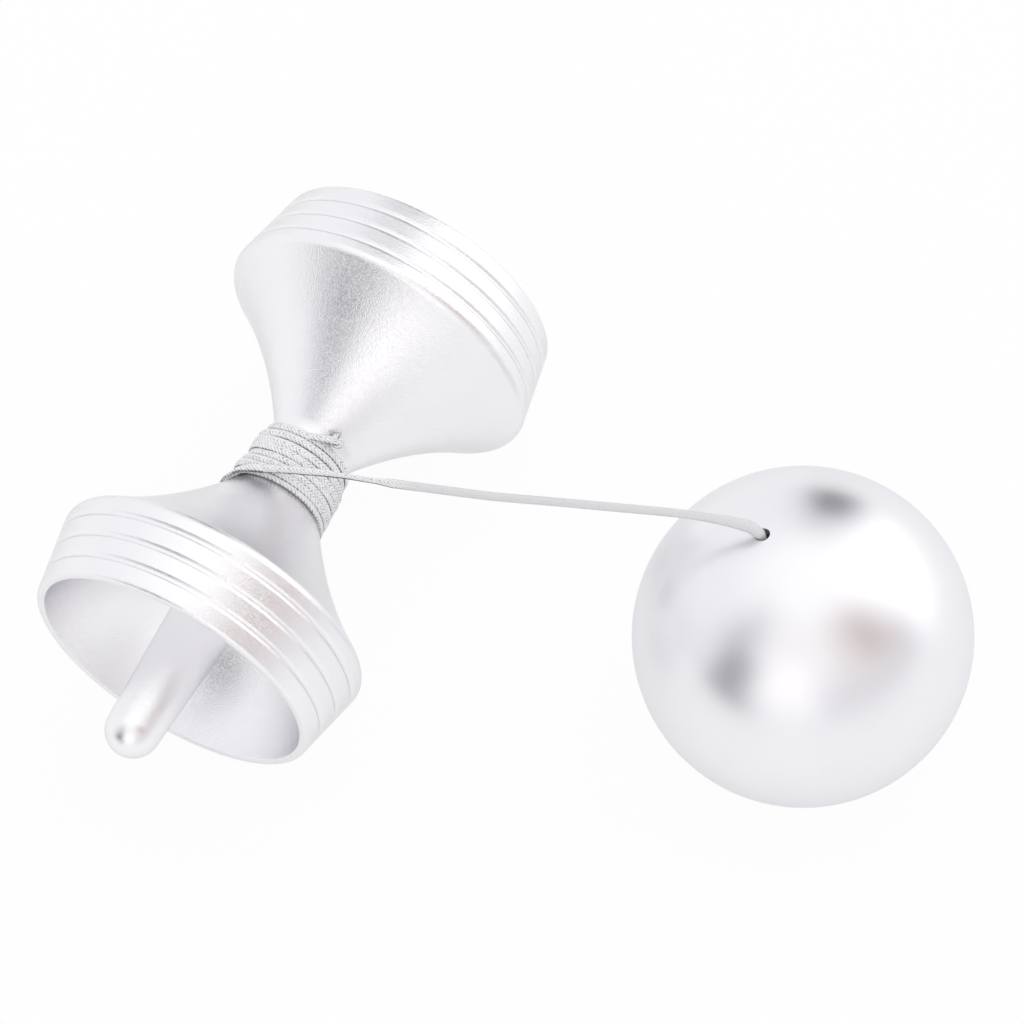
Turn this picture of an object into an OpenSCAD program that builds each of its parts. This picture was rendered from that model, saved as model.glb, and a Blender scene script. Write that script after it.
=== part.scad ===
// Metal cup-and-ball skill toy, lying as it is put down on a table.
// Two like cups meet at a slim waist, a tapered spike stands in one of them,
// and a bored ball hangs on a string that is wound round the waist.
// The handle lies along Y on its two shoulders, the ball rests beside it at +X.

/* [Cups] */
// Widest diameter of a cup, at its rounded shoulder
cup_d = 50; // [48:0.5:53]
// Distance from the waist joint to the open rim
cup_reach = 37.2; // [35:0.2:40]
// Distance from the waist joint to the widest place of the shoulder
shoulder_at = 25.4; // [24.6:0.1:26.4]
// Radius that rounds the shoulder
shoulder_round = 1.5; // [0.8:0.1:2.2]
// Taper of the grooved band towards the rim, in degrees
band_taper = 11.1; // [8:0.1:13]
// Radius that rounds the outside of the lip
lip_round = 0.6; // [0.3:0.1:0.8]
// Width of the lip between its outer edge and the bowl
lip_w = 1.3; // [1.1:0.1:2]
// Depth of the bowl below the rim
bowl_depth = 17; // [14:0.5:19]

/* [Flare] */
// Radius of the long hollow curve from the shoulder to the waist
flare_radius = 66.5; // [62:0.5:72]
// Slope of that curve where it meets the shoulder, in degrees from the axis
flare_angle = 54.2; // [53:0.2:56]
// Diameter of the waist under the string
waist_d = 13; // [12:0.2:14.4]
// Radius of the fillet between the waist and the flare
waist_fillet = 5; // [4:0.5:6]

/* [Grooves] */
// Number of grooves round each band
groove_count = 3; // [1:1:3]
// Distance between two grooves, along the band
groove_pitch = 3.4; // [2.6:0.1:3.8]
// Distance from the shoulder to the middle of the first groove
groove_first = 1.75; // [1.2:0.05:2.2]
// Width of a groove
groove_w = 1; // [0.6:0.1:1.2]
// Depth of a groove at its round bottom
groove_deep = 0.25; // [0.1:0.05:0.3]

/* [Spike] */
// Length of the spike past the rim
spike_proud = 15; // [12:0.5:18]
// Diameter of the spike's round tip
spike_tip_d = 8.3; // [7:0.1:9]
// Diameter of the spike where it stands on the bowl
spike_root_d = 10.9; // [10:0.1:12]
// Diameter of the screwed shank that ties the two cups
shank_d = 8; // [6:0.2:8.6]
// Length of shank that goes into the plain cup
shank_grip = 12; // [8:0.5:14]
// Radial clearance round the shank
shank_play = 0.05; // [0.02:0.01:0.1]

/* [Ball] */
// Diameter of the ball
ball_d = 50; // [48:0.5:53]
// Diameter of the hole that takes the spike
spike_hole_d = 12.4; // [12.2:0.1:13.4]
// Depth of that hole from the ball's surface
spike_hole_deep = 28.3; // [27.6:0.1:30]
// Chamfer round the hole's mouth
mouth_chamfer = 0.8; // [0.3:0.1:1.2]
// Diameter of the room for the bead
bead_room_d = 9.6; // [9:0.1:10.6]
// Depth of the room for the bead
bead_room_deep = 10.2; // [9.8:0.1:11.5]
// Diameter of the string's hole
string_hole_d = 2.2; // [2:0.1:3]
// Lean of the ball's holes towards the handle, in degrees
ball_lean = 18.9; // [16:0.1:20]
// Clear space between the widest part of the cups and the ball
ball_gap = 28.6; // [24:0.1:34]
// How far the ball lies towards the plain cup
ball_shift = 11.3; // [5:0.1:16]

/* [String] */
// Diameter of the string
string_d = 1; // [0.8:0.05:1.05]
// Width of the band of outer turns along the waist
wrap_w = 10.6; // [10.4:0.1:11]
// How far the middle of that band lies towards the spike's cup
wrap_shift = 1.35; // [0.8:0.05:1.6]
// Thickness of the turns that lie under the outer ones
under_w = 0.55; // [0.3:0.05:0.8]
// Air between the string and what it lies on
string_air = 0.05; // [0.03:0.01:0.1]
// Diameter of the bead inside the ball
bead_d = 8; // [7:0.1:8.6]
// Height of the bead inside the ball
bead_h = 6; // [5:0.1:6.2]
// Diameter of the bead's hole
bead_hole_d = 1.7; // [1.4:0.1:2.2]
// Diameter of the knot under the bead
end_knot_d = 3.4; // [2.6:0.1:3.6]
// Diameter of the small knot at the string's other end
tail_knot_d = 1.9; // [1.6:0.1:2]

/* [Hidden] */
$fn = 96;
eps = 0.01;

cup_r = cup_d / 2;
ball_r = ball_d / 2;
waist_r = waist_d / 2;
string_r = string_d / 2;

// Outline of a cup in the plane (distance from the axis, distance from the waist).
// The shoulder is a circle, the flare a hollow arc tangent to it, and the fillet a
// smaller arc tangent to both the flare and the waist.
shoulder_c = [cup_r - shoulder_round, shoulder_at];
flare_n = [cos(flare_angle), -sin(flare_angle)];
flare_c = shoulder_c + (flare_radius + shoulder_round) * flare_n;
flare_end = shoulder_c + shoulder_round * flare_n;
fillet_x = waist_r + waist_fillet;
fillet_c = [fillet_x, flare_c.y
    + sqrt(pow(flare_radius - waist_fillet, 2) - pow(flare_c.x - fillet_x, 2))];
flare_start = flare_c + (fillet_c - flare_c) * flare_radius / (flare_radius - waist_fillet);
band_n = [cos(band_taper), sin(band_taper)];
band_dir = [-sin(band_taper), cos(band_taper)];
band_start = shoulder_c + shoulder_round * band_n;
lip_c = [band_start.x - lip_round * band_n.x
    - tan(band_taper) * (cup_reach - lip_round - band_start.y + lip_round * band_n.y),
    cup_reach - lip_round];
lip_edge = lip_c + lip_round * band_n;
groove_r = (groove_w * groove_w / 4 + groove_deep * groove_deep) / (2 * groove_deep);
rim_r = band_start.x - tan(band_taper) * (cup_reach - band_start.y);
bowl_rim_r = rim_r - lip_w;
bowl_r = (pow(bowl_rim_r, 2) + pow(bowl_depth, 2)) / (2 * bowl_depth);
bowl_floor = cup_reach - bowl_depth;

// Radius of a cup's outside at a distance z from the waist joint.
function flare_at(z) =
    z < fillet_c.y ? waist_r :
    z < flare_start.y ? fillet_c.x - sqrt(pow(waist_fillet, 2) - pow(z - fillet_c.y, 2)) :
    flare_c.x - sqrt(pow(flare_radius, 2) - pow(z - flare_c.y, 2));

spike_tip_r = spike_tip_d / 2;
spike_root_r = spike_root_d / 2;
spike_tip_c = cup_reach + spike_proud - spike_tip_r;
spike_taper = atan(spike_root_r / (spike_tip_c - bowl_floor))
    - asin(spike_tip_r / norm([spike_root_r, spike_tip_c - bowl_floor]));
seat_play = 0.3;
shank_end_play = 1;

// The handle lies on its shoulders, so its axis is half a cup above the table.
axis_h = cup_r;
ball_c = [cup_r + ball_gap + ball_r, ball_shift, ball_r];
ball_turn = [0, ball_lean, 176.6];
mid = [(ball_c.x + ball_r - cup_r) / 2, -spike_proud / 2, 0];

bead_room_top = spike_hole_deep + bead_room_deep - ball_r;
bead_top = bead_room_top - 0.2;
bead_foot = bead_top - bead_h;

// The outer turns start at the plain cup's side and run with a falling angle.
lay = string_r + string_air;
under_r = waist_r + under_w;
turn_r = under_r + lay;
wrap_start = 50;
wrap_turns = 7.37;
wrap_from = wrap_w / 2 - wrap_shift;
under_end = wrap_from - 1.5;
wrap_pitch = wrap_w / wrap_turns;
rings_per_turn = 24;
wrap_sides = 6;
tail_lift = 0.5;
tail_ramp = 40;

// The last turn lies over the others at take_off and slides down beside them.
take_off = 104;
last_sweep = 175;
last_slant = 60;
last_y = -5.6;
last_drop = 2.1;
last_r = turn_r + string_d + 6 * string_air;
pivot_room = 0.45;

// Route of the free string, from the handle to the ball: [across, along, height],
// measured from the table under the waist joint.
string_route = [
    [-1.6, -5.4, 33.9], [3.5, -4.1, 35.5], [9.2, -2.8, 36.9], [16, -1.2, 38], [24.5, 0.8, 39.8],
    [32, 2.6, 41.4], [41, 4.8, 44], [50, 6.9, 46.7], [58, 8.8, 49], [63, 10, 49.9],
    [66.2, 10.8, 50.1], [68.5, 11.4, 49.9], [70, 11.7, 49.2], [70.7, 11.8, 48.4],
    [71.2, 11.8, 46.8]];
route_steps = 3;
route_sides = 8;
string_end_deep = 2;

// A smooth curve through the route's points, and its tangent.
function route_pick(i) = string_route[max(0, min(len(string_route) - 1, i))];
function route_point(i, t) = 0.5 * (2 * route_pick(i)
    + t * (route_pick(i + 1) - route_pick(i - 1))
    + t * t * (2 * route_pick(i - 1) - 5 * route_pick(i) + 4 * route_pick(i + 1)
        - route_pick(i + 2))
    + t * t * t * (3 * route_pick(i) - route_pick(i - 1) - 3 * route_pick(i + 1)
        + route_pick(i + 2)));
function unit(v) = v / norm(v);
function route_line() = concat(
    [for (i = [0 : len(string_route) - 2], k = [0 : route_steps - 1])
        route_point(i, k / route_steps)],
    [string_route[len(string_route) - 1]]);
function tangent(p, i) = unit(p[min(i + 1, len(p) - 1)] - p[max(i - 1, 0)]);

// A ring of points round p, square to the direction t, with its first point towards up.
function ring(p, t, up, r, sides) =
    let (side = unit(cross(t, up)), top = cross(side, t))
    [for (k = [0 : sides - 1])
        p + r * (cos(360 * k / sides) * top + sin(360 * k / sides) * side)];

// A tube of triangles through a list of rings, closed at both ends.
module tube(rings) {
    sides = len(rings[0]);
    last = len(rings) - 1;
    polyhedron(
        points = [for (one = rings) each one],
        faces = concat(
            [for (i = [0 : last - 1], k = [0 : sides - 1])
                [i * sides + k, i * sides + (k + 1) % sides, (i + 1) * sides + k]],
            [for (i = [0 : last - 1], k = [0 : sides - 1])
                [i * sides + (k + 1) % sides, (i + 1) * sides + (k + 1) % sides,
                    (i + 1) * sides + k]],
            [for (k = [1 : sides - 2]) [0, k + 1, k]],
            [for (k = [1 : sides - 2])
                [last * sides, last * sides + k, last * sides + k + 1]]));
}

// The outer turns: angle and place of the winding at turn number n. The first turn
// lies on the waist itself, the others on the turns under them, and the last ones on
// the flare.
function wrap_angle(n) = wrap_start - 360 * n;
function wrap_lift(n) = tail_lift * max(0, 1 - 360 * n / tail_ramp);
function wrap_base(y) = y > under_end + lay ? waist_r + lay :
    max(waist_r + lay, under_r + sqrt(pow(lay, 2) - pow(max(0, y - under_end), 2)));
function wrap_radius(y) = max(wrap_base(y), y < 0 ? flare_at(-y) + 1.2 * lay : 0);
function wrap_point(n) =
    let (y = wrap_from - wrap_pitch * n, r = wrap_radius(y) + wrap_lift(n))
    [r * cos(wrap_angle(n)), y, r * sin(wrap_angle(n))];
wrap_rings = round(wrap_turns * rings_per_turn);
wrap_line = [for (k = [0 : wrap_rings]) wrap_point(k * wrap_turns / wrap_rings)];
wrap_first = wrap_line[0] + string_d * unit(wrap_line[0] - wrap_line[1]);
wrap_last = wrap_line[wrap_rings]
    + string_d * unit(wrap_line[wrap_rings] - wrap_line[wrap_rings - 1]);
wrap_path = concat([wrap_first], wrap_line, [wrap_last]);
wrap_gap = min([for (i = [0 : wrap_rings - 12], j = [i + 12 : wrap_rings])
    norm(wrap_line[i] - wrap_line[j])]) - string_d;
echo(str("least gap between the outer turns, mm: ", wrap_gap));

// The last turn: its place at an angle a before the take-off.
function last_place(a) = last_y - last_drop * sin(90 * min(1, a / last_slant));
function last_radius(y) =
    max(last_r, flare_at(-y) + string_r / cos(flare_angle) + 2 * string_air);
function last_point(a) =
    let (y = last_place(a), r = last_radius(y))
    [r * cos(take_off + a), y, r * sin(take_off + a)];
last_rings = round(last_sweep / 360 * rings_per_turn);
last_line = [for (k = [0 : last_rings]) last_point(k * last_sweep / last_rings)];
pivot = last_line[0];
last_dir = unit(last_line[0] - last_line[1]);
last_path = concat([pivot - pivot_room * last_dir],
    [for (k = [1 : last_rings]) last_line[k]],
    [last_line[last_rings] + string_d * unit(last_line[last_rings]
        - last_line[last_rings - 1])]);
echo(str("string pivot: ", pivot + [0, 0, axis_h] - mid));
echo(str("ball centre: ", ball_c - mid));
echo(str("rim radius: ", rim_r, "  bowl rim radius: ", bowl_rim_r, "  bowl radius: ", bowl_r));

function outward(p) = [p.x, 0, p.z];
function round_waist(path, sides) = [for (i = [0 : len(path) - 1])
    ring(path[i], tangent(path, i), outward(path[i]), string_r, sides)];

// Solid outline of a cup between the waist joint and the rim.
module cup_outline() {
    difference() {
        polygon([[0, 0], [waist_r, 0], [waist_r, fillet_c.y], flare_start, [0, flare_start.y]]);
        translate(fillet_c) circle(waist_fillet);
    }
    difference() {
        polygon([[0, flare_start.y], flare_start, flare_end, band_start, lip_edge,
            [lip_c.x, cup_reach], [0, cup_reach]]);
        translate(flare_c) circle(flare_radius);
    }
    translate(shoulder_c) circle(shoulder_round);
    translate(lip_c) circle(lip_round);
}

// Round-bottomed grooves along the band's slope.
module groove_outlines() {
    for (k = [0 : groove_count - 1])
        translate(band_start + (groove_first + k * groove_pitch) * band_dir
            + (groove_r - groove_deep) * band_n)
            circle(groove_r, $fn = 40);
}

// One cup, standing on the waist joint with its bowl upwards.
module cup() {
    rotate_extrude() difference() {
        cup_outline();
        groove_outlines();
        translate([0, bowl_floor + bowl_r]) circle(bowl_r);
    }
}

// Lays a piece of the spike's side or of the plain side down along Y.
module spike_side() translate([0, 0, axis_h] - mid) rotate([90, 0, 0]) children();
module plain_side() translate([0, 0, axis_h] - mid) rotate([-90, 0, 0]) children();
module on_waist() translate([0, 0, axis_h] - mid) children();
module in_ball() translate(ball_c - mid) rotate(ball_turn) children();

// Cup with the spike: bored for the shank, with a flat seat in its bowl.
module spike_cup() {
    color([0.87, 0.87, 0.89]) spike_side() difference() {
        cup();
        translate([0, 0, -eps]) cylinder(r = shank_d / 2 + shank_play, h = cup_reach);
        translate([0, 0, bowl_floor]) cylinder(r = spike_root_r + seat_play, h = bowl_depth);
    }
}

// Plain cup: its hole for the shank's thread is blind, so its bowl is whole.
module plain_cup() {
    color([0.87, 0.87, 0.89]) plain_side() difference() {
        cup();
        translate([0, 0, -eps])
            cylinder(r = shank_d / 2 + shank_play, h = shank_grip + shank_end_play + eps);
    }
}

// Tapered spike with a round tip, and the shank that goes through the waist.
module spike() {
    color([0.9, 0.9, 0.92]) spike_side() {
        rotate_extrude() {
            polygon([[0, bowl_floor], [spike_root_r, bowl_floor],
                [spike_tip_r * cos(spike_taper), spike_tip_c + spike_tip_r * sin(spike_taper)],
                [0, spike_tip_c + spike_tip_r * sin(spike_taper)]]);
            intersection() {
                translate([0, spike_tip_c]) circle(spike_tip_r);
                square([spike_tip_r, cup_reach + spike_proud]);
            }
        }
        translate([0, 0, -shank_grip])
            cylinder(r = shank_d / 2, h = shank_grip + bowl_floor + eps);
    }
}

// The turns that lie under the outer ones, as one plain sleeve on the waist.
module string_under_turns() {
    span = fillet_c.y + under_end;
    color([0.7, 0.72, 0.73]) on_waist() rotate([90, 0, 0]) translate([0, 0, -under_end])
        difference() {
            cylinder(r = under_r, h = span);
            translate([0, 0, -eps]) cylinder(r = waist_r, h = span + 2 * eps);
        }
}

// The outer turns, one unbroken tube.
module string_winding() {
    color([0.78, 0.8, 0.81]) on_waist() tube(round_waist(wrap_path, wrap_sides));
}

// Small knot and frayed end of the string, at the start of the outer turns.
module string_tail() {
    tail_dir = unit(wrap_first - wrap_line[0]);
    knot_r = tail_knot_d / 2;
    knot_in = sqrt(pow(knot_r, 2) - pow(string_r, 2));
    tuft_h = 1.6;
    lean = acos(tail_dir.z);
    turn = atan2(tail_dir.y, tail_dir.x);
    color([0.78, 0.8, 0.81]) on_waist() translate(wrap_first) rotate([0, lean, turn]) {
        intersection() {
            translate([0, 0, knot_in]) sphere(knot_r);
            translate([-knot_r, -knot_r, 0]) cube(2 * knot_r + knot_in);
        }
        translate([0, 0, knot_in + knot_r / 2])
            cylinder(r1 = string_r, r2 = 1.5 * string_r, h = tuft_h);
    }
}

// The last turn, which the string leaves the waist from.
module string_last_turn() {
    color([0.78, 0.8, 0.81]) on_waist() tube(round_waist(last_path, wrap_sides));
}

// The free string between the waist and the ball's hole.
module string_free() {
    path = route_line();
    color([0.78, 0.8, 0.81]) translate(-mid)
        tube([for (i = [0 : len(path) - 1])
            ring(path[i], tangent(path, i), [0, 1, 0], string_r, route_sides)]);
}

// The string inside the ball, down to its knot.
module string_in_ball() {
    color([0.78, 0.8, 0.81]) in_ball() translate([0, 0, bead_foot])
        cylinder(r = string_r, h = ball_r - string_end_deep - bead_foot);
}

// Bead that keeps the string from slipping out of the ball.
module stop_bead() {
    bead_edge = 1.5;
    color([0.75, 0.6, 0.42]) in_ball() translate([0, 0, bead_foot]) difference() {
        rotate_extrude() {
            square([bead_d / 2 - bead_edge, bead_h]);
            translate([0, bead_edge]) square([bead_d / 2, bead_h - 2 * bead_edge]);
            for (z = [bead_edge, bead_h - bead_edge])
                translate([bead_d / 2 - bead_edge, z]) circle(bead_edge);
        }
        translate([0, 0, -eps]) cylinder(r = bead_hole_d / 2, h = bead_h + 2 * eps);
    }
}

// Knot under the bead.
module end_knot() {
    knot_r = end_knot_d / 2;
    color([0.78, 0.8, 0.81]) in_ball() intersection() {
        translate([0, 0, bead_foot - 0.8 * knot_r]) sphere(knot_r);
        translate([-knot_r, -knot_r, bead_foot - 2 * knot_r]) cube(2 * knot_r);
    }
}

// Ball, turned from solid metal, with the spike's hole, the bead's room and the
// string's hole on one axis.
module ball() {
    hole_r = spike_hole_d / 2;
    mouth = sqrt(pow(ball_r, 2) - pow(hole_r + mouth_chamfer, 2));
    over = 2;
    color([0.87, 0.87, 0.89]) in_ball() difference() {
        sphere(ball_r);
        translate([0, 0, -ball_r - eps])
            cylinder(r = hole_r, h = spike_hole_deep + eps);
        translate([0, 0, -mouth - over])
            cylinder(r1 = hole_r + mouth_chamfer + over, r2 = hole_r, h = mouth_chamfer + over);
        translate([0, 0, -eps])
            cylinder(r = bead_room_d / 2, h = bead_room_top + eps);
        cylinder(r = string_hole_d / 2, h = ball_r + eps);
    }
}

spike_cup();
plain_cup();
spike();
string_under_turns();
string_winding();
string_tail();
string_last_turn();
string_free();
string_in_ball();
stop_bead();
end_knot();
ball();
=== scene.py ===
"""Metal cup-and-ball toy on a white table: finishes, string and studio."""
import math

import bpy
import numpy as np
from mathutils import Matrix


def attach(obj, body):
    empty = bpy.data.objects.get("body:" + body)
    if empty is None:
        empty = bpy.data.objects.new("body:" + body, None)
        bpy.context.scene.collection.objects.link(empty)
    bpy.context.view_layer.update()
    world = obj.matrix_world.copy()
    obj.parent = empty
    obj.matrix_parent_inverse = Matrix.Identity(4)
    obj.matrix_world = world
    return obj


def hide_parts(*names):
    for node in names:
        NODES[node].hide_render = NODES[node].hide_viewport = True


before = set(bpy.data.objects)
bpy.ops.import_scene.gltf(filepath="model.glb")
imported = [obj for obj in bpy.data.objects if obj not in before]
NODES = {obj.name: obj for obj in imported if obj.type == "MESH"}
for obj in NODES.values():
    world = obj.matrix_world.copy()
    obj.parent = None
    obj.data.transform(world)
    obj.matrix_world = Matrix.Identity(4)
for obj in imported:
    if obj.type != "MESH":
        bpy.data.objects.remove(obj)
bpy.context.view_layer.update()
MM = 0.001

# Sizes of the toy in millimetres, as in part.scad.
CUP_R = 25.0
CUP_REACH = 37.2
SHOULDER_AT = 25.4
SHOULDER_ROUND = 1.5
BAND_TAPER = math.radians(11.1)
LIP_ROUND = 0.6
LIP_W = 1.3
BOWL_DEPTH = 17.0
FLARE_RADIUS = 66.5
FLARE_ANGLE = math.radians(54.2)
WAIST_R = 6.5
WAIST_FILLET = 5.0
GROOVES = 3
GROOVE_FIRST = 1.75
GROOVE_PITCH = 3.4
GROOVE_W = 1.0
GROOVE_DEEP = 0.25
SPIKE_PROUD = 15.0
SPIKE_TIP_R = 4.15
SPIKE_ROOT_R = 5.45
SHANK_R = 4.0
SHANK_GRIP = 12.0
SHANK_PLAY = 0.05
SEAT_PLAY = 0.3
SHANK_ROOM = 1.0
BALL_R = 25.0
SPIKE_HOLE_R = 6.2
SPIKE_HOLE_DEEP = 28.3
MOUTH_CHAMFER = 0.8
BEAD_ROOM_R = 4.8
BEAD_ROOM_DEEP = 10.2
STRING_HOLE_R = 1.1
SEAM_DEEP = 3.0
BALL_LEAN = math.radians(18.9)
BALL_AZIMUTH = math.radians(176.6)

# How far edges are rounded, in millimetres: most of them, the lip's inner edge,
# and the sphere at the string's hole.
BROKEN_EDGE = 0.1
LIP_EDGE = 0.12
HOLE_EDGE = 0.25

# Places in the row frame, in millimetres.
WAIST = np.array([-39.3, 7.5, 25.0])
BALL_AT = np.array([39.3, 18.8, 25.0])
TOWARDS_SPIKE = np.array([[1, 0, 0], [0, 0, -1], [0, 1, 0]], float)
TOWARDS_PLAIN = np.array([[1, 0, 0], [0, 0, 1], [0, -1, 0]], float)
BALL_TURN = np.array(
    Matrix.Rotation(BALL_AZIMUTH, 3, "Z") @ Matrix.Rotation(BALL_LEAN, 3, "Y")
)


# Meshes.
def volume(points, faces):
    """Six times the signed volume of a closed mesh: the sum of the triple
    products of each face's fan of triangles."""
    total = 0.0
    for quad in faces:
        corners = points[quad]
        for k in range(1, quad.shape[1] - 1):
            total += np.einsum(
                "ij,ij->i",
                corners[:, 0],
                np.cross(corners[:, k], corners[:, k + 1]),
            ).sum()
    return total


def make_piece(name, points, faces, body, material, uv=None):
    """Puts points in metres and lists of equal-sided faces into one mesh with
    its faces outwards, and rides it on a body."""
    if volume(points, faces) < 0:
        faces = [block[:, ::-1] for block in faces]
    mesh = bpy.data.meshes.new(name)
    loops = np.concatenate([block.ravel() for block in faces])
    sides = np.concatenate([np.full(len(block), block.shape[1]) for block in faces])
    starts = np.concatenate([[0], np.cumsum(sides)[:-1]])
    mesh.vertices.add(len(points))
    mesh.vertices.foreach_set("co", points.astype(np.float32).ravel())
    mesh.loops.add(len(loops))
    mesh.loops.foreach_set("vertex_index", loops.astype(np.int32))
    mesh.polygons.add(len(sides))
    mesh.polygons.foreach_set("loop_start", starts.astype(np.int32))
    mesh.polygons.foreach_set("loop_total", sides.astype(np.int32))
    mesh.polygons.foreach_set("use_smooth", np.ones(len(sides), bool))
    if uv is not None:
        layer = mesh.uv_layers.new(name="along")
        layer.data.foreach_set("uv", uv[loops].astype(np.float32).ravel())
    mesh.update(calc_edges=True)
    mesh.validate()
    obj = bpy.data.objects.new(name, mesh)
    bpy.context.scene.collection.objects.link(obj)
    mesh.materials.append(material)
    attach(obj, body)
    return obj


def grid_faces(rows, cols, wrap_rows):
    """Quads of a grid whose columns close on themselves, and whose rows do too
    where wrap_rows is true."""
    last = rows if wrap_rows else rows - 1
    i, j = np.meshgrid(np.arange(last), np.arange(cols), indexing="ij")
    a, b = i % rows, (i + 1) % rows
    c, d = j % cols, (j + 1) % cols
    return np.stack(
        [a * cols + c, a * cols + d, b * cols + d, b * cols + c], -1
    ).reshape(-1, 4)


def fan_faces(pole, ring):
    """Triangles between one point and a closed ring of points."""
    return np.stack([np.full(len(ring), pole), ring, np.roll(ring, -1)], -1)


def lathe(name, profile, turn, place, body, material, segments=256):
    """A profile (distance from the axis, height) turned round the Z axis: the
    point at angle t is (r cos t, r sin t, z). A profile with both ends on the
    axis gets a pole at each, and one with neither is a closed ring."""
    poles = profile[0, 0] == 0
    rim = profile[1:-1] if poles else profile
    t = np.linspace(0, 2 * math.pi, segments, endpoint=False)
    points = np.stack(
        [
            rim[:, :1] * np.cos(t),
            rim[:, :1] * np.sin(t),
            np.repeat(rim[:, 1:], segments, axis=1),
        ],
        -1,
    ).reshape(-1, 3)
    faces = [grid_faces(len(rim), segments, not poles)]
    if poles:
        first, last = len(points), len(points) + 1
        ends = [[0, 0, profile[0, 1]], [0, 0, profile[-1, 1]]]
        points = np.concatenate([points, ends])
        ring = np.arange(segments)
        faces.append(
            np.concatenate(
                [
                    fan_faces(first, ring[::-1]),
                    fan_faces(last, ring + (len(rim) - 1) * segments),
                ]
            )
        )
    points = (points @ turn.T + place) * MM
    return make_piece(name, points, faces, body, material)


def arc(centre, radius, start, end, count):
    """Points of a circle's arc from one angle to another, in radians."""
    a = np.linspace(start, end, count)
    return np.stack([centre[0] + radius * np.cos(a), centre[1] + radius * np.sin(a)], -1)


def eased(corners, radius, steps=4):
    """A run of straight lines whose inner corners are rounded: each corner is
    replaced by a short curve between two points a radius away from it."""
    corners = np.asarray(corners, float)
    parts = [corners[:1]]
    for before, here, after in zip(corners, corners[1:], corners[2:]):
        to_before = (before - here) / np.linalg.norm(before - here)
        to_after = (after - here) / np.linalg.norm(after - here)
        s = np.linspace(0, 1, steps + 1)[:, None]
        parts.append(
            here + radius * ((1 - s) ** 2 * to_before + s**2 * to_after)
        )
    parts.append(corners[-1:])
    return np.concatenate(parts)


# Outlines of the turned pieces.
SHOULDER_C = np.array([CUP_R - SHOULDER_ROUND, SHOULDER_AT])
FLARE_N = np.array([math.cos(FLARE_ANGLE), -math.sin(FLARE_ANGLE)])
FLARE_C = SHOULDER_C + (FLARE_RADIUS + SHOULDER_ROUND) * FLARE_N
FILLET_X = WAIST_R + WAIST_FILLET
FILLET_C = np.array(
    [
        FILLET_X,
        FLARE_C[1]
        + math.sqrt((FLARE_RADIUS - WAIST_FILLET) ** 2 - (FLARE_C[0] - FILLET_X) ** 2),
    ]
)
TANGENT = math.atan2(FILLET_C[1] - FLARE_C[1], FILLET_C[0] - FLARE_C[0])
BAND_N = np.array([math.cos(BAND_TAPER), math.sin(BAND_TAPER)])
BAND_DIR = np.array([-BAND_N[1], BAND_N[0]])
BAND_START = SHOULDER_C + SHOULDER_ROUND * BAND_N
RIM_R = BAND_START[0] - math.tan(BAND_TAPER) * (CUP_REACH - BAND_START[1])
LIP_C = np.array(
    [
        BAND_START[0]
        - LIP_ROUND * BAND_N[0]
        - math.tan(BAND_TAPER)
        * (CUP_REACH - LIP_ROUND - BAND_START[1] + LIP_ROUND * BAND_N[1]),
        CUP_REACH - LIP_ROUND,
    ]
)
BOWL_RIM_R = RIM_R - LIP_W
BOWL_R = (BOWL_RIM_R**2 + BOWL_DEPTH**2) / (2 * BOWL_DEPTH)
BOWL_FLOOR = CUP_REACH - BOWL_DEPTH
BOWL_C = np.array([0, BOWL_FLOOR + BOWL_R])
BOWL_EDGE = math.atan2(CUP_REACH - BOWL_C[1], BOWL_RIM_R)
TIP_C = CUP_REACH + SPIKE_PROUD - SPIKE_TIP_R

# Angles in the bowl, past its edge, where the lip's rounding ends and where the
# bowl's own arc begins, and distances of the two rings beside each groove.
LIP_ENDS = 0.02
BOWL_BEGINS = 0.03
GROOVE_RINGS = np.array([[0.1], [0.03]])


def band_with_grooves():
    """The band's straight slope from the shoulder to the lip, with a groove at
    each groove's place: an arc whose chord is the groove's width and whose
    height is its depth. A ring on each side keeps the slope flat up to the
    groove's broken edge."""
    radius = (GROOVE_W**2 / 4 + GROOVE_DEEP**2) / (2 * GROOVE_DEEP)
    half = math.asin(GROOVE_W / 2 / radius)
    a = np.linspace(-half, half, 15)[1:-1, None]
    bottom = radius * np.sin(a) * BAND_DIR
    bottom = bottom - (radius * np.cos(a) - radius + GROOVE_DEEP) * BAND_N
    side = GROOVE_W / 2 + GROOVE_RINGS
    parts = [[BAND_START]]
    for k in range(GROOVES):
        middle = BAND_START + (GROOVE_FIRST + k * GROOVE_PITCH) * BAND_DIR
        parts += [
            middle - side * BAND_DIR,
            middle + bottom,
            middle + side[::-1] * BAND_DIR,
        ]
    parts.append([LIP_C + LIP_ROUND * BAND_N])
    return np.concatenate(parts)


def cup_outside():
    """Waist, fillet, hollow flare, rounded shoulder, grooved band and lip."""
    rim = np.array([[LIP_C[0], CUP_REACH], [BOWL_RIM_R, CUP_REACH]])
    inside = BOWL_EDGE - LIP_ENDS
    start = BOWL_C + BOWL_R * np.array([math.cos(inside), math.sin(inside)])
    return np.concatenate(
        [
            arc(FILLET_C, WAIST_FILLET, math.pi, TANGENT, 14),
            arc(FLARE_C, FLARE_RADIUS, TANGENT, math.pi - FLARE_ANGLE, 60)[1:],
            arc(SHOULDER_C, SHOULDER_ROUND, -FLARE_ANGLE, BAND_TAPER, 14)[1:-1],
            band_with_grooves()[:-1],
            arc(LIP_C, LIP_ROUND, BAND_TAPER, math.pi / 2, 9),
            eased([rim[0], rim[1], start], LIP_EDGE)[1:],
        ]
    )


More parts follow.
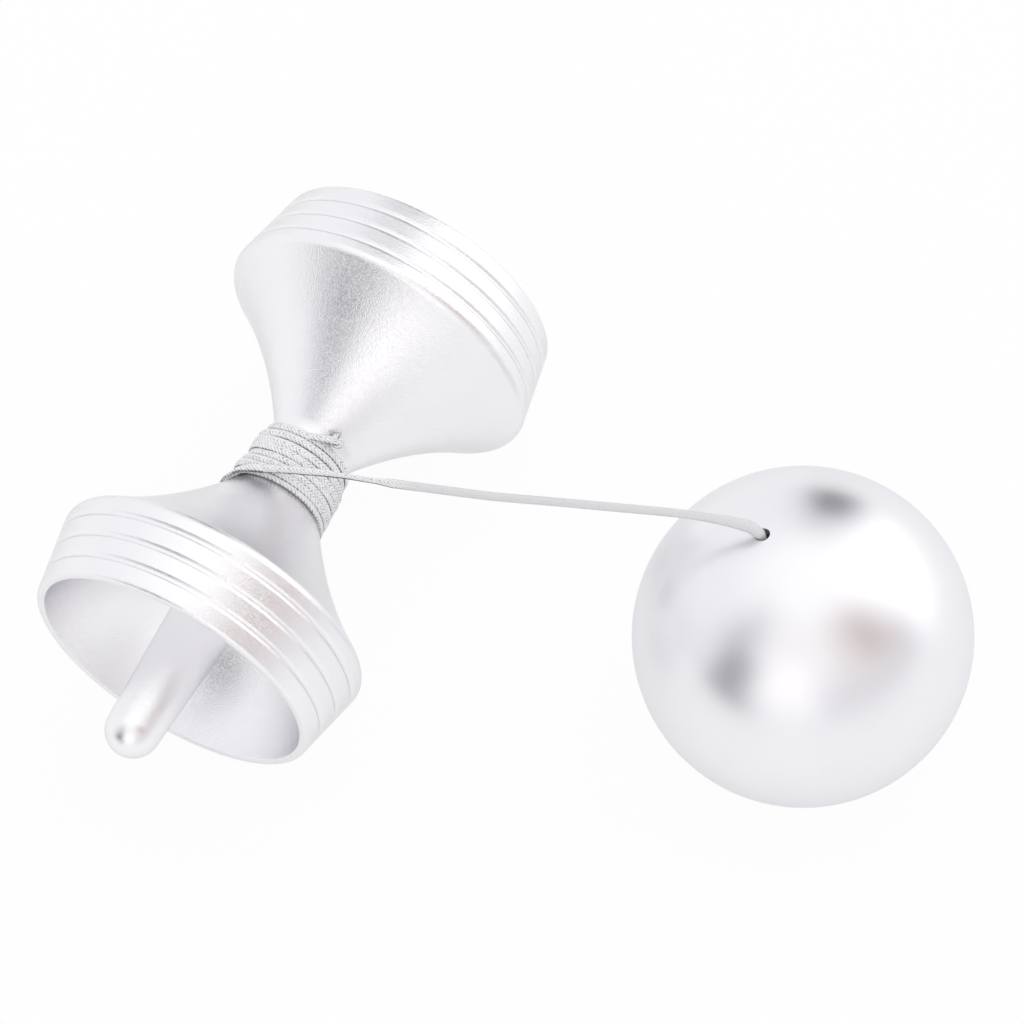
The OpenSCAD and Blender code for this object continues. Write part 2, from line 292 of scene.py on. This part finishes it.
def bowl(end_r, count):
    """The bowl's arc from just inside the lip to a distance from the axis."""
    begins = BOWL_EDGE - BOWL_BEGINS
    return arc(BOWL_C, BOWL_R, begins, -math.acos(end_r / BOWL_R), count)


def cup_profiles():
    """Closed profiles of the two cups: the spike's cup is bored through and
    has a flat seat, the plain cup has a blind hole for the shank."""
    bore = SHANK_R + SHANK_PLAY
    seat = SPIKE_ROOT_R + SEAT_PLAY
    outside = cup_outside()
    seat_top = BOWL_C[1] - math.sqrt(BOWL_R**2 - seat**2)
    spike_cup = np.concatenate(
        [
            [[bore, 0], [WAIST_R, 0]],
            outside,
            bowl(seat, 70)[:-1],
            eased(
                [
                    bowl(seat, 70)[-2],
                    [seat, seat_top],
                    [seat, BOWL_FLOOR],
                    [bore, BOWL_FLOOR],
                ],
                BROKEN_EDGE,
            )[1:],
        ]
    )
    hole_end = SHANK_GRIP + SHANK_ROOM
    plain_cup = np.concatenate(
        [
            [[0, hole_end], [bore, hole_end], [bore, 0], [WAIST_R, 0]],
            outside,
            bowl(0.0, 80),
        ]
    )
    return spike_cup, plain_cup


def spike_profile():
    """Shank, foot on the bowl, taper and round tip."""
    run = TIP_C - BOWL_FLOOR
    taper = math.atan(SPIKE_ROOT_R / run) - math.asin(
        SPIKE_TIP_R / math.hypot(SPIKE_ROOT_R, run)
    )
    tip = arc([0, TIP_C], SPIKE_TIP_R, taper, math.pi / 2, 40)
    foot = eased(
        [
            [SHANK_R, -SHANK_GRIP],
            [SHANK_R, BOWL_FLOOR],
            [SPIKE_ROOT_R, BOWL_FLOOR],
            tip[0],
        ],
        BROKEN_EDGE,
    )
    return np.concatenate([[[0, -SHANK_GRIP]], foot, tip[1:]])


def ball_profile():
    """The sphere between its two holes, the spike's hole with its chamfer, the
    bead's room and the string's hole. The closed profile begins and ends in the
    string's hole."""
    mouth_r = SPIKE_HOLE_R + MOUTH_CHAMFER
    mouth = math.sqrt(BALL_R**2 - mouth_r**2)
    room_floor = SPIKE_HOLE_DEEP - BALL_R
    room_top = room_floor + BEAD_ROOM_DEEP
    top = math.acos(STRING_HOLE_R / BALL_R)
    start = top - HOLE_EDGE / BALL_R
    sphere = arc([0, 0], BALL_R, start, -math.acos(mouth_r / BALL_R), 180)
    seam = [STRING_HOLE_R, BALL_R - SEAM_DEEP]
    edge = eased(
        [
            seam,
            [STRING_HOLE_R, BALL_R * math.sin(top)],
            sphere[0],
            sphere[1],
        ],
        BROKEN_EDGE,
    )[:-2]
    inside = eased(
        [
            sphere[-1],
            [SPIKE_HOLE_R, MOUTH_CHAMFER - mouth],
            [SPIKE_HOLE_R, room_floor],
            [BEAD_ROOM_R, room_floor],
            [BEAD_ROOM_R, room_top],
            [STRING_HOLE_R, room_top],
            seam,
        ],
        BROKEN_EDGE,
    )[1:-1]
    return np.concatenate([edge, sphere[1:], inside])


# Paths and tubes of string.

# Length of one plait in millimetres, how far its V leans in radians of phase, the
# rings of a rounded end, and the distances between a tube's rings in the winding
# and elsewhere, in millimetres.
PLAIT = 0.65
PLAIT_LEAN = 8.5
DOME_RINGS = 3
WINDING_SPACING = 0.13
SPACING = 0.1


def smooth_path(points, spacing):
    """A Catmull-Rom curve through the points, sampled at even distances."""
    p = np.asarray(points, float)
    p = np.concatenate([[2 * p[0] - p[1]], p, [2 * p[-1] - p[-2]]])
    t = np.linspace(0, 1, 24, endpoint=False)[:, None]
    curve = [
        0.5
        * (
            2 * b
            + t * (c - a)
            + t * t * (2 * a - 5 * b + 4 * c - d)
            + t**3 * (3 * b - a - 3 * c + d)
        )
        for a, b, c, d in zip(p, p[1:], p[2:], p[3:])
    ]
    curve = np.concatenate(curve + [p[-2:-1]])
    return even_path(curve, spacing)


def even_path(curve, spacing):
    """The same line sampled again at even distances."""
    gone = np.concatenate([[0], np.cumsum(np.linalg.norm(np.diff(curve, axis=0), axis=1))])
    at = np.linspace(0, gone[-1], max(2, int(round(gone[-1] / spacing)) + 1))
    return np.stack([np.interp(at, gone, curve[:, k]) for k in range(3)], -1)


def frames(path, up):
    """Unit tangent, side and top vectors along a path: the side is square to
    the tangent and to the given up vectors."""
    tangent = np.gradient(path, axis=0)
    tangent /= np.linalg.norm(tangent, axis=1)[:, None]
    side = np.cross(tangent, up)
    side /= np.linalg.norm(side, axis=1)[:, None]
    return tangent, side, np.cross(side, tangent)


def string_tube(path, up, half_w, half_t, twist=0.0, relief=0.035, sides=28):
    """A braided string swept along a path, as points, faces and coordinates
    (length, angle). Its section is an ellipse half_w by half_t turned by twist,
    with one V-shaped plait per PLAIT of length on its face and on its back, and
    a hollow between the two halves of each V:
    r = ellipse(a) (1 + relief (cos(2 pi s / PLAIT - PLAIT_LEAN |cos a|) - e^-(4 cos a)^2)).
    Both ends are closed by a dome."""
    tangent, side, top = frames(path, up)
    gone = np.concatenate([[0], np.cumsum(np.linalg.norm(np.diff(path, axis=0), axis=1))])
    dome = np.linspace(0, math.pi / 2, DOME_RINGS + 1, endpoint=False)[1:]
    grow = np.concatenate([np.sin(dome), np.ones(len(path)), np.sin(dome[::-1])])
    lead = np.concatenate([-np.cos(dome), np.zeros(len(path)), np.cos(dome[::-1])])
    at_end = len(path) - 1
    pick = np.concatenate([[0] * DOME_RINGS, np.arange(len(path)), [at_end] * DOME_RINGS])
    a = np.linspace(-0.5, 1.5, sides, endpoint=False) * math.pi
    wide, thick, turned = (
        np.broadcast_to(v, len(path))[pick][:, None] for v in (half_w, half_t, twist)
    )
    phase = gone[pick][:, None] * 2 * math.pi / PLAIT - PLAIT_LEAN * np.abs(np.cos(a))
    ridge = 1 + relief * (np.cos(phase) - np.exp(-((4 * np.cos(a)) ** 2)))
    w = wide * np.cos(a) * ridge
    t = thick * np.sin(a) * ridge
    across = (w * np.cos(turned) - t * np.sin(turned)) * grow[:, None]
    upward = (w * np.sin(turned) + t * np.cos(turned)) * grow[:, None]
    centre = path[pick] + tangent[pick] * (lead[:, None] * thick)
    points = (
        centre[:, None]
        + across[..., None] * side[pick][:, None]
        + upward[..., None] * top[pick][:, None]
    )
    uv = np.stack(
        [np.repeat(gone[pick][:, None], sides, 1), np.repeat(a[None], len(pick), 0)], -1
    ).reshape(-1, 2)
    count = len(pick) * sides
    ends = [path[0] - tangent[0] * thick[0], path[-1] + tangent[-1] * thick[-1]]
    ring = np.arange(sides)
    faces = [
        grid_faces(len(pick), sides, False),
        np.concatenate(
            [fan_faces(count, ring[::-1]), fan_faces(count + 1, ring + count - sides)]
        ),
    ]
    return (
        np.concatenate([points.reshape(-1, 3), ends]) * MM,
        faces,
        np.concatenate([uv, [[0, 0], [gone[-1], 0]]]) * [MM, 1],
    )


def string_piece(name, tubes, body, material):
    """Several string tubes as one piece."""
    points, faces, uv, base = [], [], [], 0
    for tube_points, tube_faces, tube_uv in tubes:
        points.append(tube_points)
        faces += [block + base for block in tube_faces]
        uv.append(tube_uv)
        base += len(tube_points)
    return make_piece(
        name, np.concatenate(points), faces, body, material,
        np.concatenate(uv),
    )


def waist_path(places, spacing, ease=7.0):
    """A path round the waist through (angle in degrees, along, radius), made
    of straight runs that are averaged over twice ease degrees."""
    angle, along, radius = np.array(places, float).T
    order = np.argsort(angle)
    fine = np.arange(angle.min(), angle.max(), 0.5)
    window = int(4 * ease) + 1
    curves = []
    for values in (along, radius):
        run = np.interp(fine, angle[order], values[order])
        padded = np.pad(run, window // 2, "edge")
        curves.append(np.convolve(padded, np.full(window, 1 / window), "valid"))
    path = round_waist(np.radians(fine), *curves)
    if angle[0] > angle[-1]:
        path = path[::-1]
    return even_path(path, spacing)


def outward(path):
    """Directions away from the handle's axis."""
    return (path - WAIST) * [1, 0, 1]


def round_waist(angle, along, radius):
    """Points round the handle's axis at an angle from +X towards +Z, a distance
    along it towards the plain cup and a radius, all as arrays."""
    return WAIST + np.stack([radius * np.cos(angle), along, radius * np.sin(angle)], -1)


# Materials.
class Field:
    """A shader socket that can be used in sums and products."""

    def __init__(self, shader, socket):
        self.shader = shader
        self.socket = socket

    def _math(self, operation, other, swap=False):
        values = [other, self] if swap else [self, other]
        return self.shader.node("ShaderNodeMath", {"operation": operation}, values)

    def __add__(self, other):
        return self._math("ADD", other)

    def __radd__(self, other):
        return self._math("ADD", other)

    def __sub__(self, other):
        return self._math("SUBTRACT", other)

    def __rsub__(self, other):
        return self._math("SUBTRACT", other, True)

    def __mul__(self, other):
        return self._math("MULTIPLY", other)

    def __rmul__(self, other):
        return self._math("MULTIPLY", other)

    def clamp(self):
        """The value kept between 0 and 1."""
        return self.shader.node(
            "ShaderNodeMath", {"operation": "ADD", "use_clamp": True}, [self, 0.0]
        )


class Shader:
    """A node tree that is written as expressions on Fields."""

    def __init__(self, tree):
        self.tree = tree
        tree.nodes.clear()

    def raw(self, kind, settings=None, inputs=()):
        """Adds a node: its settings first, then its sockets' values or links."""
        made = self.tree.nodes.new(kind)
        for name, value in (settings or {}).items():
            setattr(made, name, value)
        pairs = inputs.items() if isinstance(inputs, dict) else enumerate(inputs)
        for key, value in pairs:
            if isinstance(value, Field):
                self.tree.links.new(value.socket, made.inputs[key])
            else:
                made.inputs[key].default_value = value
        return made

    def node(self, kind, settings=None, inputs=(), out=0):
        """Adds a node and gives one of its outputs."""
        return Field(self, self.raw(kind, settings, inputs).outputs[out])

    def mix(self, factor, a, b):
        """Colour mix: a where factor is 0, b where it is 1."""
        return self.node(
            "ShaderNodeMix", {"data_type": "RGBA"}, {0: factor, 6: a, 7: b}, out=2
        )

    def step(self, field, low, high, to_low=0.0, to_high=1.0):
        """Smooth step of a value between two edges."""
        return self.node(
            "ShaderNodeMapRange",
            {"interpolation_type": "SMOOTHSTEP"},
            [field, low, high, to_low, to_high],
        )

    def noise(self, where, scale, detail=2.0, roughness=0.5):
        """Noise from 0 to 1 with so many lumps in a metre."""
        return self.node(
            "ShaderNodeTexNoise",
            None,
            {"Vector": where, "Scale": scale, "Detail": detail, "Roughness": roughness},
        )


def new_material(name):
    """An empty material and the Shader that fills it."""
    material = bpy.data.materials.new(name)
    material.use_nodes = True
    return material, Shader(material.node_tree)


def blasted_metal(name, colour, rough, grain):
    """Fine bead-blasted, clear anodised aluminium: a metal with a little
    roughness and a sparkling grain in its normal, seen where its reflection
    changes from dark to light."""
    material, sh = new_material(name)
    where = sh.node("ShaderNodeTexCoord", out=3)
    pits = sh.noise(where, 5600.0, 1.0, 0.7)
    coarse = sh.noise(where, 90.0, 3.0, 0.6)
    bump = sh.node(
        "ShaderNodeBump", None, {"Strength": 1.0, "Distance": grain, "Height": pits}
    )
    roughness = rough + (coarse - 0.5) * 0.04
    tone = sh.mix(
        sh.step(coarse, 0.35, 0.7), (*colour, 1.0), (*[c * 0.985 for c in colour], 1.0)
    )
    shader = sh.node(
        "ShaderNodeBsdfPrincipled",
        None,
        {
            "Base Color": tone,
            "Metallic": 1.0,
            "Roughness": roughness,
            "Specular Tint": (0.92, 0.92, 0.93, 1.0),
            "Normal": bump,
        },
    )
    sh.raw("ShaderNodeOutputMaterial", None, {"Surface": shader})
    return material


# Stretches of a string, in metres along it: where the winding's outermost turn
# begins, past which the painted shade on its near edge is weaker, and where the free string
# leaves the waist.
OUTERMOST = (0.337, 0.342)
STRETCHED = (0.017, 0.025)


def braided_string(name, light, far_light, dark, depth, far_depth):
    """Light grey braid: V-shaped plaits on the string's own length and angle
    (see string_tube), with painted shade between them and at the edges, and loose
    fibres over them. The painted shade at the edges comes and goes as the turns
    press on each other, and on the winding's outermost turn the near edge is left
    light. Past the first two centimetres the string is stretched: its tone and the
    strength of its painted shade go to their far values."""
    material, sh = new_material(name)
    uv = sh.node("ShaderNodeUVMap", {"uv_map": "along"})
    parts = sh.raw("ShaderNodeSeparateXYZ", None, [uv])
    along, angle = Field(sh, parts.outputs[0]), Field(sh, parts.outputs[1])
    where = sh.node("ShaderNodeTexCoord", out=3)
    drift = sh.noise(where, 420.0, 2.0) * 7.0 + sh.noise(where, 2300.0, 1.0) * 5.0
    fibre = sh.noise(where, 5200.0, 3.0, 0.7)
    across = sh.node("ShaderNodeMath", {"operation": "COSINE"}, [angle])
    middle = sh.node("ShaderNodeMath", {"operation": "ABSOLUTE"}, [across])
    phase = along * (2 * math.pi / (PLAIT * MM)) - middle * PLAIT_LEAN + drift
    wave = sh.node("ShaderNodeMath", {"operation": "COSINE"}, [phase])
    wander = sh.noise(where, 1300.0, 2.0) * 2.0 - 0.3
    # Painted shade in the braid's hollows: between the plaits and along the middle of each V,
    # stronger or weaker at random.
    painted_hollow_shade = sh.step(wave, -1.0, 0.0, 0.8, 0.0) + sh.step(middle, 0.0, 0.2, 0.3, 0.0)
    painted_hollow_shade = painted_hollow_shade * wander.clamp()
    # Painted shade at the turns' edges where they press on each other, weaker on the near edge
    # of the winding's outermost turn.
    edge = sh.step(across, 0.8, 0.99, 0.0, 1.25) * sh.step(along, *OUTERMOST, 1.0, 0.3)
    edge = edge + sh.step(across, -0.99, -0.8, 1.25, 0.0)
    edge = edge * (sh.noise(where, 330.0, 1.0) * 2.6 - 0.4).clamp()
    stretched = sh.step(along, *STRETCHED)
    lift = 1.0 - (painted_hollow_shade + edge) * (stretched * (far_depth - depth) + depth)
    tint = sh.mix(stretched, (*light, 1.0), (*far_light, 1.0))
    tone = sh.mix((lift + (fibre - 0.43) * 0.9).clamp(), (*dark, 1.0), tint)
    bump = sh.node(
        "ShaderNodeBump",
        None,
        {"Strength": 0.6, "Distance": 0.00006, "Height": lift * 0.6 + fibre * 0.5},
    )
    shader = sh.node(
        "ShaderNodeBsdfPrincipled",
        None,
        {"Base Color": tone, "Roughness": 0.75, "Normal": bump},
    )
    sh.raw("ShaderNodeOutputMaterial", None, {"Surface": shader})
    return material


def plain_finish(name, colour, rough):
    """One colour and one roughness all over."""
    material, sh = new_material(name)
    shader = sh.node(
        "ShaderNodeBsdfPrincipled",
        None,
        {"Base Color": (*colour, 1.0), "Roughness": rough},
    )
    sh.raw("ShaderNodeOutputMaterial", None, {"Surface": shader})
    return material


HANDLE_SILVER = (0.94, 0.935, 0.95)
BALL_SILVER = (0.92, 0.915, 0.935)
cup_metal = blasted_metal("cup_metal", HANDLE_SILVER, 0.17, 0.00006)
spike_metal = blasted_metal("spike_metal", HANDLE_SILVER, 0.17, 0.000045)
ball_metal = blasted_metal("ball_metal", BALL_SILVER, 0.33, 0.000003)

# Colours of the string: where it is loose, where it is stretched, the painted shade
# in its hollows and at its edges with its darker fibres, and the painted shade of the layers
# under the outer turns.
STRING_LIGHT = (0.96, 0.965, 0.98)
STRING_FAR = (0.76, 0.765, 0.78)
STRING_PAINTED_SHADE_AND_FIBRE = (0.1, 0.103, 0.115)
STRING_UNDER_PAINTED_SHADE = (0.6, 0.6, 0.62)
string_braid = braided_string(
    "string_braid", STRING_LIGHT, STRING_LIGHT, STRING_PAINTED_SHADE_AND_FIBRE, 0.8, 0.8
)
string_taut = braided_string(
    "string_taut", STRING_LIGHT, STRING_FAR, STRING_PAINTED_SHADE_AND_FIBRE, 0.8, 0.15
)
# The layers under the outer turns: the braid in a darker tone with weaker hollows, as painted
# shade.
string_under = braided_string(
    "string_under", STRING_UNDER_PAINTED_SHADE, STRING_UNDER_PAINTED_SHADE, STRING_PAINTED_SHADE_AND_FIBRE, 0.5, 0.5
)
bead_wood = plain_finish("bead_wood", (0.38, 0.2, 0.09), 0.5)

# The turned pieces.
spike_cup_profile, plain_cup_profile = cup_profiles()
turned = [
    ("cup_spike_side", "spike_cup", spike_cup_profile, TOWARDS_SPIKE, "cup_metal", cup_metal),
    ("cup_plain_side", "plain_cup", plain_cup_profile, TOWARDS_PLAIN, "cup_metal", cup_metal),
    ("spike_turned", "spike", spike_profile(), TOWARDS_SPIKE, "spike_metal", spike_metal),
]
for name, node, profile, turn, slot, material in turned:
    piece = lathe(name, profile, turn, WAIST, "handle", material)
    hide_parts(node)
ball = lathe("ball_turned", ball_profile(), BALL_TURN, BALL_AT, "ball", ball_metal)
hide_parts("ball")

# The string's pieces.
for node, material in (
    ("string_in_ball", string_braid),
    ("end_knot", string_braid),
    ("stop_bead", bead_wood),
):
    NODES[node].data.materials.clear()
    NODES[node].data.materials.append(material)

# The layers under the outer turns, as a sleeve from one radius to another and
# from one place along the handle to another. Its braid is a darker copy: painted shade where it
# shows between the turns.
UNDER_R = (6.52, 6.65)
UNDER_FROM, UNDER_TO = -3.4, 3.1
sleeve = lathe(
    "under_turns",
    np.array(
        [
            [UNDER_R[0], UNDER_FROM],
            [UNDER_R[1], UNDER_FROM],
            [UNDER_R[1], UNDER_TO],
            [UNDER_R[0], UNDER_TO],
        ]
    ),
    TOWARDS_PLAIN,
    WAIST,
    "handle",
    string_under,
)
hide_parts("string_under_turns")

# The outer turns as they lie in the photo, from the plain cup to the spike's cup:
# place along the handle at four angles, and radius at the left and at the right.
TURNS = [
    ((3.95, 3.2, 2.95, 2.7), (6.95, 6.9)),
    ((1.95, 1.7, 1.55, 1.1), (7.6, 7.0)),
    ((1.0, 0.25, 0.0, -0.35), (7.7, 7.42)),
    ((-0.1, -0.95, -1.4, -1.55), (7.58, 7.6)),
    ((-1.25, -2.15, -2.55, -2.75), (7.35, 7.6)),
    ((-2.6, -3.5, -3.8, -4.1), (7.78, 7.68)),
    ((-3.8, -4.7, -4.9, -5.25), (8.1, 7.78)),
    ((-5.2, -5.5, -5.75, -6.3), (7.5, 7.68)),
]
TURN_ANGLES = (165, 120, 45, 0)
FIRST_START = (215, 4.1, 6.95)
LAST_START = (279, -7.2, 8.45)
places = [FIRST_START]
for k, (along, (left, right)) in enumerate(TURNS):
    for angle, y in zip(TURN_ANGLES, along):
        share = (TURN_ANGLES[0] - angle) / TURN_ANGLES[0]
        places.append((angle - 360 * k, y, left + (right - left) * share))
places.append((LAST_START[0] - 360 * len(TURNS), *LAST_START[1:]))

# The braid is pressed flat round the waist: half its width and half its
# thickness, and how it leans where it climbs the spike cup's flare, in radians.
# All three wander a little along it.
PRESSED_W = 0.66
PRESSED_T = 0.39
CLIMB_LEAN = 0.5
winding_path = waist_path(places, WINDING_SPACING)
gone = np.linspace(0, 1, len(winding_path))
winding = string_piece(
    "winding_turns",
    [
        string_tube(
            winding_path,
            outward(winding_path),
            PRESSED_W + 0.03 * np.sin(51 * gone),
            PRESSED_T + 0.02 * np.sin(83 * gone),
            0.1 * np.sin(37 * gone) + CLIMB_LEAN * np.clip((gone - 0.88) / 0.1, 0, 1),
        )
    ],
    "handle",
    string_braid,
)
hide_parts("string_winding")

# The last turn slides up the flare and over the other turns to the take-off. It
# grows thicker and lies down again on the way.
TAKE_OFF = (104, -5.6, 8.9)
LAST_T = 0.42
LAST_LEAN = 0.6
last_path = waist_path(
    [
        LAST_START,
        (180, -7.2, 8.45),
        (146, -6.75, 8.4),
        (136, -6.2, 8.45),
        (122, -5.95, 8.55),
        TAKE_OFF,
    ],
    SPACING,
    4.0,
)
gone = np.linspace(0, 1, len(last_path))
last_turn = string_piece(
    "last_turn",
    [
        string_tube(
            last_path,
            outward(last_path),
            PRESSED_W,
            LAST_T + 0.12 * gone,
            LAST_LEAN - LAST_LEAN * np.clip((gone - 0.7) / 0.3, 0, 1),
        )
    ],
    "last_turn",
    string_braid,
)
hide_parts("string_last_turn")

# The string's other end leaves the first turn and ends in a small knot, a trefoil
# with a few loose fibres.
KNOT = np.array([-34.75, 12.0, 31.75])
KNOT_SCALE = 0.27
KNOT_TURN = np.array(Matrix.Rotation(0.9, 3, (0.5, -0.4, 0.8)))
KNOT_UP = [0, 0, 3.0]
FIBRES = 5
FIBRE_R = 0.045
FIBRE_LEAN = np.array([-0.35, 0.75, 0.35])
FIBRE_UP = [0.3, -0.2, 1.0]
tail_path = waist_path(
    [(84, 3.15, 7.0), (74, 3.5, 7.5), (65, 3.95, 7.95), (56, 4.5, 8.2)], SPACING, 3.0
)
t = np.linspace(0, 2 * math.pi, 140)
trefoil = np.stack(
    [np.sin(t) + 2 * np.sin(2 * t), np.cos(t) - 2 * np.cos(2 * t), -np.sin(3 * t)], -1
)
knot_path = KNOT + KNOT_SCALE * trefoil @ KNOT_TURN
spread = np.random.default_rng(11)
knot_tubes = [
    string_tube(tail_path, outward(tail_path), 0.6, 0.4),
    string_tube(knot_path, knot_path - KNOT + KNOT_UP, 0.44, 0.38),
]
for _ in range(FIBRES):
    lean = FIBRE_LEAN + spread.normal(0, 0.5, 3)
    droop = spread.normal(0, 0.5, 3)
    s = np.linspace(0, 1, 12)[:, None]
    fibre = KNOT + 0.4 * lean + spread.uniform(0.5, 1.0) * (s * lean + 0.4 * s**2 * droop)
    knot_tubes.append(
        string_tube(fibre, np.broadcast_to(FIBRE_UP, fibre.shape), FIBRE_R, FIBRE_R, sides=6)
    )
tail = string_piece("tail_knot", knot_tubes, "handle", string_braid)
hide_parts("string_tail")

# The free string, through the points of part.scad's route, which are measured
# from the waist's middle on the table. The last points are moved a little, so
# that the string leans on the edge of the ball's hole.
PIVOT = np.array([-41.45, 1.9, 33.64])
ROUTE = [
    (-1.6, -5.4, 33.9), (3.5, -4.1, 35.5), (9.2, -2.8, 36.9), (16, -1.2, 38), (24.5, 0.8, 39.8),
    (32, 2.6, 41.4), (41, 4.8, 44), (50, 6.9, 46.7), (58, 8.8, 49), (63, 10, 49.9),
    (66.2, 10.8, 50.1), (68.5, 11.4, 49.9), (70, 11.7, 49.2), (70.7, 11.8, 48.4),
    (71.2, 11.8, 46.8),
]
LEAN_ON_EDGE = [-0.4, -0.1, -0.05]
route = np.array(ROUTE) + [WAIST[0], WAIST[1], 0]
route[-3:] += LEAN_ON_EDGE
free_path = smooth_path(np.concatenate([[PIVOT], route]), SPACING)
gone = np.linspace(0, 1, len(free_path))

# The way its face looks, and half its width at places along it, as shares of its
# length: it is narrower where the photo shows it edge on beside the waist. It
# widens and thickens where it goes into the ball.
FREE_UP = [0.2257, -0.421, 1.0]
FREE_PLACES = [0, 0.1, 0.16, 0.23, 0.26, 0.5]
FREE_HALF_W = [0.64, 0.6, 0.4, 0.42, 0.67, 0.64]
FREE_HALF_T = 0.54
MOUTH_WIDER = 0.28
MOUTH_THICKER = 0.2
half_width = np.interp(gone, FREE_PLACES, FREE_HALF_W)
flare_out = np.clip((gone - 0.84) / 0.1, 0, 1) ** 2 * (
    1 - 0.8 * np.clip((gone - 0.965) / 0.02, 0, 1)
)
free = string_piece(
    "string_free_braid",
    [
        string_tube(
            free_path,
            np.broadcast_to(FREE_UP, free_path.shape),
            half_width + MOUTH_WIDER * flare_out,
            FREE_HALF_T + MOUTH_THICKER * flare_out,
            0.25 * np.sin(9 * gone),
            relief=0.01,
        )
    ],
    "string",
    string_taut,
)
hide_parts("string_free")

# Table and studio.

# Half the table's side in metres, and how much of its colour is plain white to the
# camera and in the metal's reflections.
TABLE_HALF = 6.0
WHITE_TO_CAMERA = 0.94
WHITE_TO_METAL = 0.58
floor_mesh = bpy.data.meshes.new("table")
corners = [(-1, -1), (1, -1), (1, 1), (-1, 1)]
floor_mesh.from_pydata(
    [(x * TABLE_HALF, y * TABLE_HALF, 0) for x, y in corners], [], [(0, 1, 2, 3)]
)
table = bpy.data.objects.new("table", floor_mesh)
bpy.context.scene.collection.objects.link(table)
table_white, sh = new_material("table_white")
paths = sh.raw("ShaderNodeLightPath")
seen = Field(sh, paths.outputs["Is Camera Ray"])
mirrored = Field(sh, paths.outputs["Is Glossy Ray"])
diffuse = sh.node("ShaderNodeBsdfDiffuse", None, {"Color": (0.96, 0.96, 0.97, 1.0)})
glow = sh.node("ShaderNodeEmission", None, {"Color": (1.0, 1.0, 1.0, 1.0), "Strength": 1.0})
white = seen * WHITE_TO_CAMERA + mirrored * WHITE_TO_METAL
mixed = sh.node("ShaderNodeMixShader", None, [white, diffuse, glow])
sh.raw("ShaderNodeOutputMaterial", None, {"Surface": mixed})
floor_mesh.materials.append(table_white)

world = bpy.data.worlds.new("studio")
bpy.context.scene.world = world
world.use_nodes = True
sh = Shader(world.node_tree)
look = sh.raw("ShaderNodeSeparateXYZ", None, [sh.node("ShaderNodeTexCoord", out=0)])
look_x, look_y, look_z = (Field(sh, look.outputs[k]) for k in range(3))
degrees = 180 / math.pi
azimuth = sh.node("ShaderNodeMath", {"operation": "ARCTAN2"}, [look_y, look_x]) * degrees
elevation = sh.node("ShaderNodeMath", {"operation": "ARCSINE"}, [look_z]) * degrees


def panel(az, el, soft):
    """1 on a panel of the studio between two azimuths and two elevations in
    degrees, falling smoothly to 0 over soft degrees at its edges."""
    sides = sh.step(azimuth, az[0] - soft, az[0] + soft)
    sides = sides * sh.step(azimuth, az[1] - soft, az[1] + soft, 1.0, 0.0)
    sides = sides * sh.step(elevation, el[0] - soft, el[0] + soft)
    return sides * sh.step(elevation, el[1] - soft, el[1] + soft, 1.0, 0.0)


# Panels of the studio, painted over its pale walls one after the other:
# azimuths, elevations, softness of the edge, colour.
STUDIO = [
    # The ceiling and the lighter tops of the walls.
    ((-400, 400), (68, 200), 8, (1.12, 1.12, 1.12)),
    ((128, 220), (46, 66), 8, (1.05, 1.05, 1.05)),
    ((-220, -150), (46, 66), 8, (1.05, 1.05, 1.05)),
    ((20, 190), (60, 80), 8, (1.12, 1.12, 1.12)),
    # Bright screens.
    ((30, 88), (-10, 64), 7, (1.3, 1.3, 1.3)),
    ((88, 136), (46, 64), 8, (1.1, 1.1, 1.1)),
    ((-104, -30), (38, 68), 9, (1.02, 1.0, 1.0)),
    ((-96, -58), (10, 44), 7, (1.22, 1.2, 1.2)),
    # A reddish thing that runs aslant, and the grey round it.
    ((-50, 22), (6, 27), 7, (0.76, 0.75, 0.77)),
    ((-34, 20), (24, 66), 8, (0.84, 0.79, 0.78)),
    ((-32, -10), (54, 68), 7, (0.78, 0.68, 0.67)),
    ((8, 21), (18, 34), 6, (0.62, 0.52, 0.55)),
    ((-10, 12), (32, 61), 8, (0.46, 0.36, 0.33)),
    # Dark things on both sides.
    ((-138, -114), (28, 58), 8, (0.55, 0.55, 0.59)),
    ((-112, -95), (-12, 9), 5, (0.3, 0.3, 0.32)),
    ((-127, -102), (-4, 34), 6, (0.22, 0.22, 0.24)),
    ((101, 119), (24, 42), 6, (0.66, 0.66, 0.69)),
    ((95, 114), (-14, 26), 5, (0.0, 0.0, 0.02)),
]
sky = (0.94, 0.94, 0.97, 1.0)
for az, el, soft, colour in STUDIO:
    sky = sh.mix(panel(az, el, soft), sky, (*colour, 1.0))
paths = sh.raw("ShaderNodeLightPath")
seen = Field(sh, paths.outputs["Is Camera Ray"])
shown = sh.mix(seen, sky, (1.0, 1.0, 1.0, 1.0))
background = sh.node("ShaderNodeBackground", None, {"Color": shown, "Strength": 1.0})
sh.raw("ShaderNodeOutputWorld", None, {"Surface": background})

# Camera, fitted to the photograph.
camera_data = bpy.data.cameras.new("camera")
camera_data.sensor_width = 36.0
camera_data.lens = 168.75
camera_data.clip_start = 0.01
camera_data.clip_end = 50.0
camera = bpy.data.objects.new("camera", camera_data)
bpy.context.scene.collection.objects.link(camera)
RIGHT = (0.88131, 0.47253, 0.0)
UP = (-0.41514, 0.77427, 0.47767)
BACK = (0.22571, -0.42097, 0.87854)
CAMERA_AT = (0.15267, -0.28260, 0.65020)
camera.matrix_world = Matrix((*zip(RIGHT, UP, BACK, CAMERA_AT), (0, 0, 0, 1)))
bpy.context.scene.camera = camera
bpy.context.scene.view_settings.view_transform = "Standard"
# Light runs round the inside of a bowl in many small bounces.
bpy.context.scene.cycles.glossy_bounces = 12
